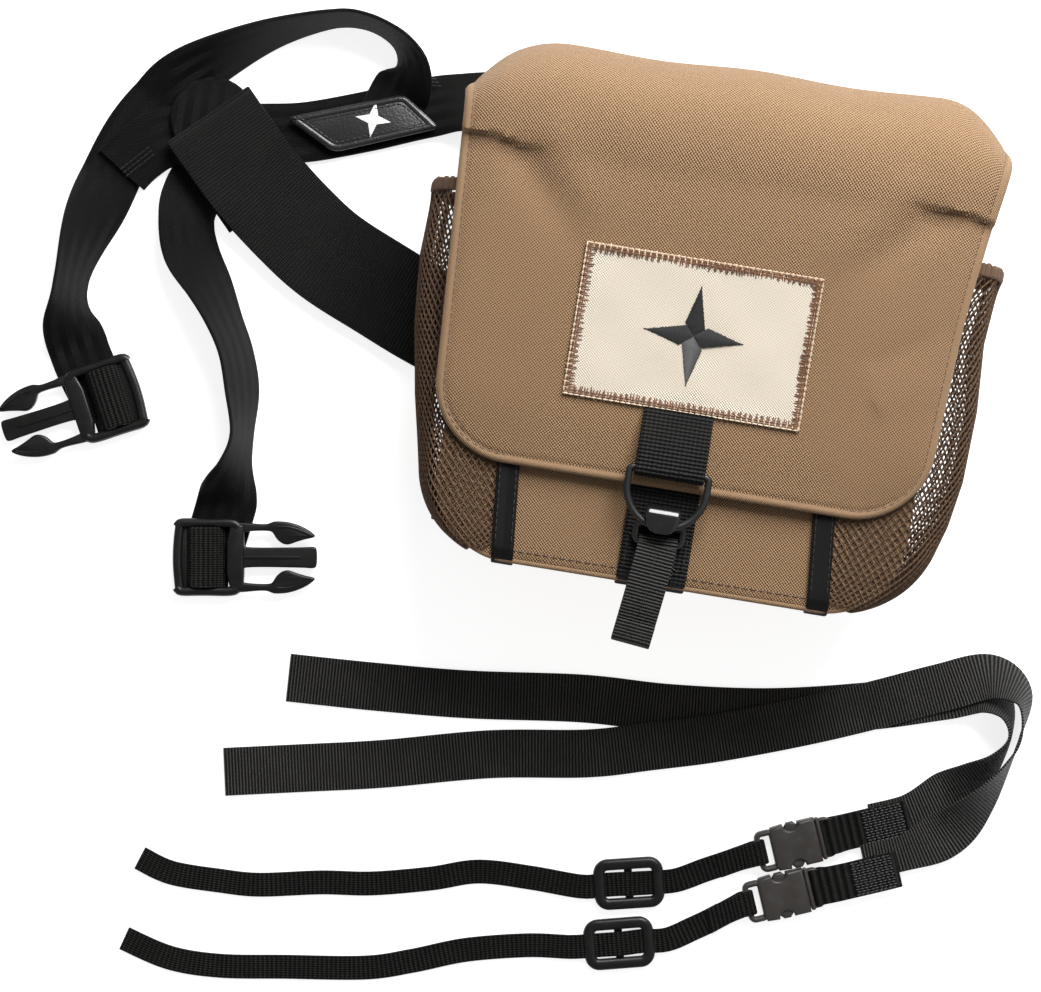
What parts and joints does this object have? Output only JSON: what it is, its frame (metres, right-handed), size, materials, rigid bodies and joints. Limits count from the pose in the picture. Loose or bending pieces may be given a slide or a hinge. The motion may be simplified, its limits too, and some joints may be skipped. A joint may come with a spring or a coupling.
{
  "type": "binocular harness pack",
  "caption": "Soft chest pack for binoculars with a hooked flap, mesh side pockets, a folded webbing harness with side-release buckles, and clip-on tethers.",
  "frame": {"origin": "middle of the back pad's resting face, which lies on the table", "axes": "+Z out of the pack's front (up, as it lies), +Y towards the pack's top edge, +X to the right seen from the front"},
  "size_m": [0.4453, 0.4031, 0.0985],
  "materials": {
    "nylon_tan": "woven matt",
    "mesh_brown": "open knit, matt",
    "elastic_tan": "matt",
    "webbing_black": "ribbed, slight sheen",
    "plastic_black": "satin",
    "hook_black": "gloss",
    "patch_canvas": "fine weave, matt",
    "patch_thread": "merrowed thread",
    "motif_black": "embroidered",
    "vinyl_black": "gloss",
    "mark_white": "matt print",
    "foam_grey": "soft open-cell foam, matt",
    "lining_black": "brushed, matt",
    "back_mesh_black": "spacer mesh, matt"
  },
  "bodies": {
    "pack": {"back_pad_cover": "back_mesh_black", "back_pad_foam": "foam_grey", "back_wall": "nylon_tan", "gusset": "nylon_tan", "gusset_foam": "foam_grey", "back_foam": "foam_grey", "front_foam": "foam_grey", "lining": "lining_black", "front_panel": "nylon_tan", "mesh_pocket_left": "mesh_brown", "mesh_pocket_right": "mesh_brown", "pocket_elastic_left": "elastic_tan", "pocket_elastic_right": "elastic_tan", "binding_left": "webbing_black", "binding_right": "webbing_black", "body_webbing": "webbing_black", "side_loop_right": "webbing_black", "hook_anchor": "webbing_black", "shoulder_strap_a": "webbing_black", "yoke_strap": "webbing_black", "shoulder_strap_b": "webbing_black", "side_strap_b": "webbing_black", "strap_keeper": "vinyl_black", "cross_patch_lower": "vinyl_black", "cross_patch_upper": "vinyl_black", "cross_patch_mark": "mark_white"},
    "flap_top": {"flap_top": "nylon_tan"},
    "flap_front": {"flap_front": "nylon_tan", "flap_lining": "lining_black", "patch_canvas": "patch_canvas", "patch_border": "patch_thread", "patch_motif": "motif_black", "flap_webbing": "webbing_black"},
    "d_ring": {"d_ring": "plastic_black"},
    "hook": {"hook": "hook_black"},
    "pull_tab": {"pull_tab": "webbing_black"},
    "buckle_a": {"male_buckle_a": "plastic_black", "buckle_loop_a": "webbing_black"},
    "buckle_b": {"male_buckle_b": "plastic_black", "buckle_loop_b": "webbing_black"},
    "female_left": {"female_buckle_left": "plastic_black", "female_tab_left": "webbing_black"},
    "female_right": {"female_buckle_right": "plastic_black", "female_tab_right": "webbing_black"},
    "tether_1": {"tether_ribbon_1": "webbing_black", "ribbed_loop_1": "webbing_black", "small_male_1": "plastic_black"},
    "quick_1": {"small_female_1": "plastic_black", "connector_loop_1": "webbing_black", "connector_web_1": "webbing_black"},
    "slider_1": {"slider_1": "plastic_black"},
    "tether_2": {"tether_ribbon_2": "webbing_black", "ribbed_loop_2": "webbing_black", "small_male_2": "plastic_black"},
    "quick_2": {"small_female_2": "plastic_black", "connector_loop_2": "webbing_black", "connector_web_2": "webbing_black"},
    "slider_2": {"slider_2": "plastic_black"}
  },
  "joints": [
    {"name": "flap_hinge", "type": "hinge", "parent": "pack", "child": "flap_top", "pos_m": [0, 0.1, 0.0114], "axis": [-1, 0, 0], "range_deg": [0, 90]},
    {"name": "flap_fold", "type": "hinge", "parent": "flap_top", "child": "flap_front", "pos_m": [0, 0.08828, 0.08028], "axis": [-1, 0, 0], "range_deg": [0, 90]},
    {"name": "ring_swing", "type": "hinge", "parent": "flap_front", "child": "d_ring", "pos_m": [-0.0037, -0.055, 0.09515], "axis": [-1, 0, 0], "range_deg": [0, 120]},
    {"name": "hook_tilt", "type": "hinge", "parent": "pack", "child": "hook", "pos_m": [-0.0037, -0.08225, 0.0903], "axis": [1, 0, 0], "range_deg": [0, 10]},
    {"name": "pull_tab_swing", "type": "hinge", "parent": "pack", "child": "pull_tab", "pos_m": [-0.0037, -0.08225, 0.0903], "axis": [-1, 0, 0], "range_deg": [0, 60]},
    {"name": "buckle_a_lift", "type": "hinge", "parent": "pack", "child": "buckle_a", "pos_m": [-0.24685, -0.04633, 0.0019], "axis": [-0.891, -0.454, 0], "range_deg": [0, 45]},
    {"name": "buckle_b_lift", "type": "hinge", "parent": "pack", "child": "buckle_b", "pos_m": [-0.17919, -0.0993, 0.0019], "axis": [-0.9877, -0.1564, 0], "range_deg": [0, 45]},
    {"name": "female_left_swing", "type": "hinge", "parent": "pack", "child": "female_left", "pos_m": [-0.091, -0.076, 0.0045], "axis": [0, 1, 0], "range_deg": [0, 180]},
    {"name": "female_right_swing", "type": "hinge", "parent": "pack", "child": "female_right", "pos_m": [0.091, -0.076, 0.0045], "axis": [0, -1, 0], "range_deg": [0, 180]},
    {"name": "tether_1_lift", "type": "slide", "parent": "pack", "child": "tether_1", "axis": [0, 0, 1], "range_m": [0, 0.1]},
    {"name": "tether_2_lift", "type": "slide", "parent": "tether_1", "child": "tether_2", "axis": [0, 0, 1], "range_m": [0, 0.1]},
    {"name": "quick_1_release", "type": "slide", "parent": "tether_1", "child": "quick_1", "axis": [-0.9239, -0.3827, 0], "range_m": [0, 0.014]},
    {"name": "quick_2_release", "type": "slide", "parent": "tether_2", "child": "quick_2", "axis": [-0.9239, -0.3827, 0], "range_m": [0, 0.014]},
    {"name": "slider_1_slide", "type": "slide", "parent": "quick_1", "child": "slider_1", "axis": [0.9744, 0.2249, 0], "range_m": [-0.004, 0.004]},
    {"name": "slider_2_slide", "type": "slide", "parent": "quick_2", "child": "slider_2", "axis": [0.9716, 0.2367, 0], "range_m": [-0.004, 0.004]}
  ]
}
